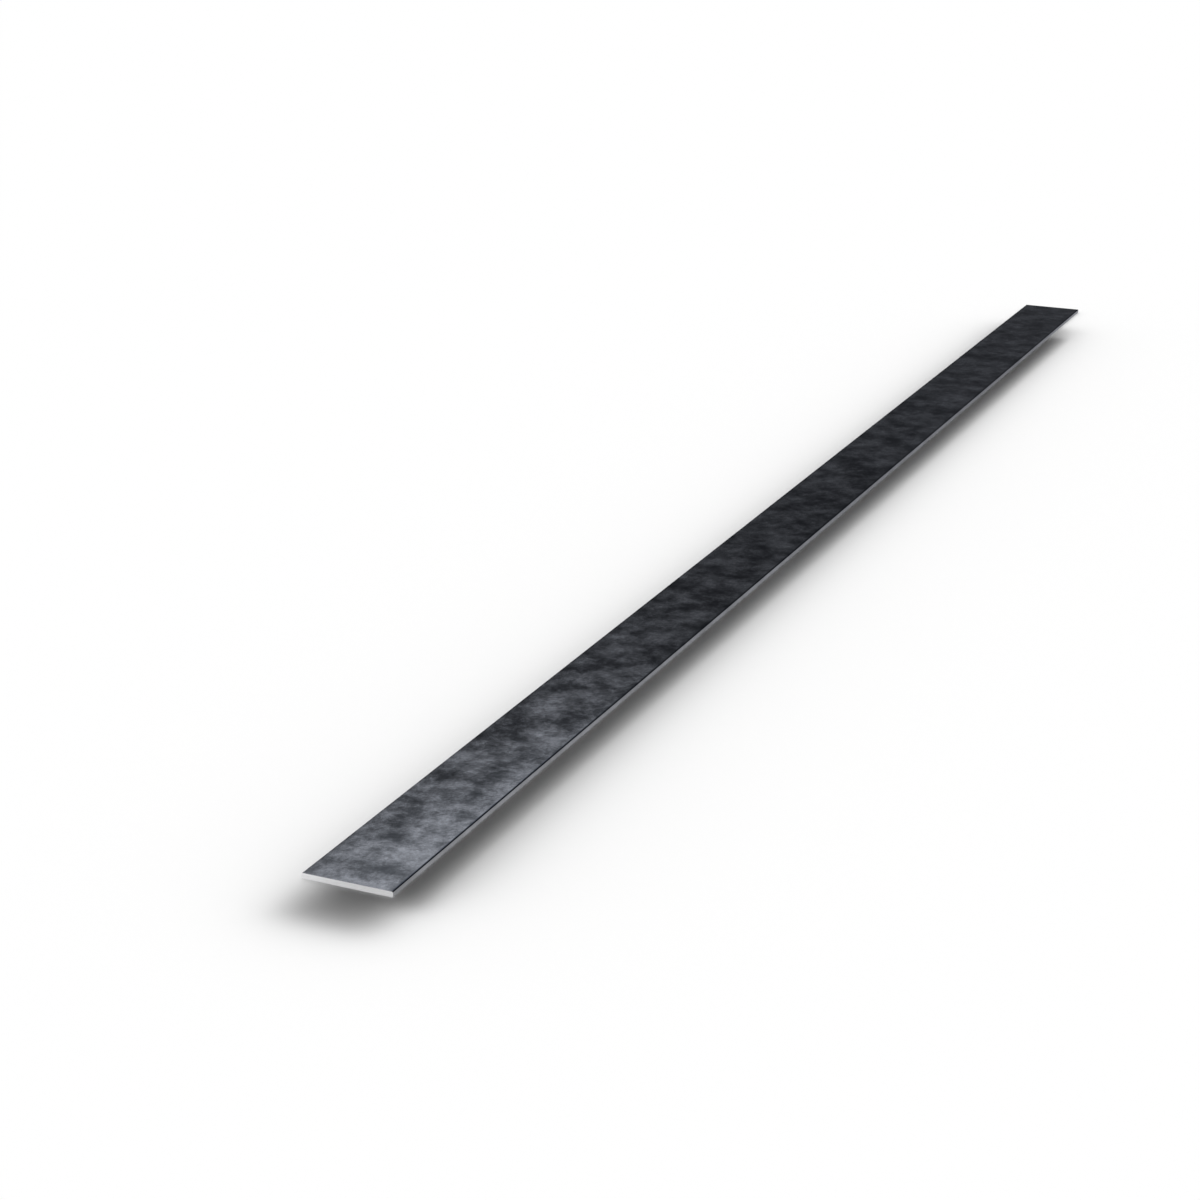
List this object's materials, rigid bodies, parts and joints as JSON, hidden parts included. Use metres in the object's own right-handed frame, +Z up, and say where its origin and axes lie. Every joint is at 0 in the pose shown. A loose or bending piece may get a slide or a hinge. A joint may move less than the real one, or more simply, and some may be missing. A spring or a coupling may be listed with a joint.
{
  "type": "metal flat bar",
  "caption": "Straight length of hot-rolled steel flat bar: wide, thin rectangular section with slightly rounded long edges and square-cut ends, stock for frames, brackets and straps.",
  "frame": {"origin": "middle of the underside, on the surface that the bar lies on", "axes": "+Y along the bar's length, +X across its width, +Z up through its thickness"},
  "size_m": [0.05, 1.33, 0.003],
  "materials": {
    "mill_steel": "dark blue-grey hot-rolled mill scale, cloudy and semi-gloss, with bright bare steel on the two cut ends"
  },
  "bodies": {
    "root": {"flat_bar": "mill_steel"}
  },
  "joints": []
}
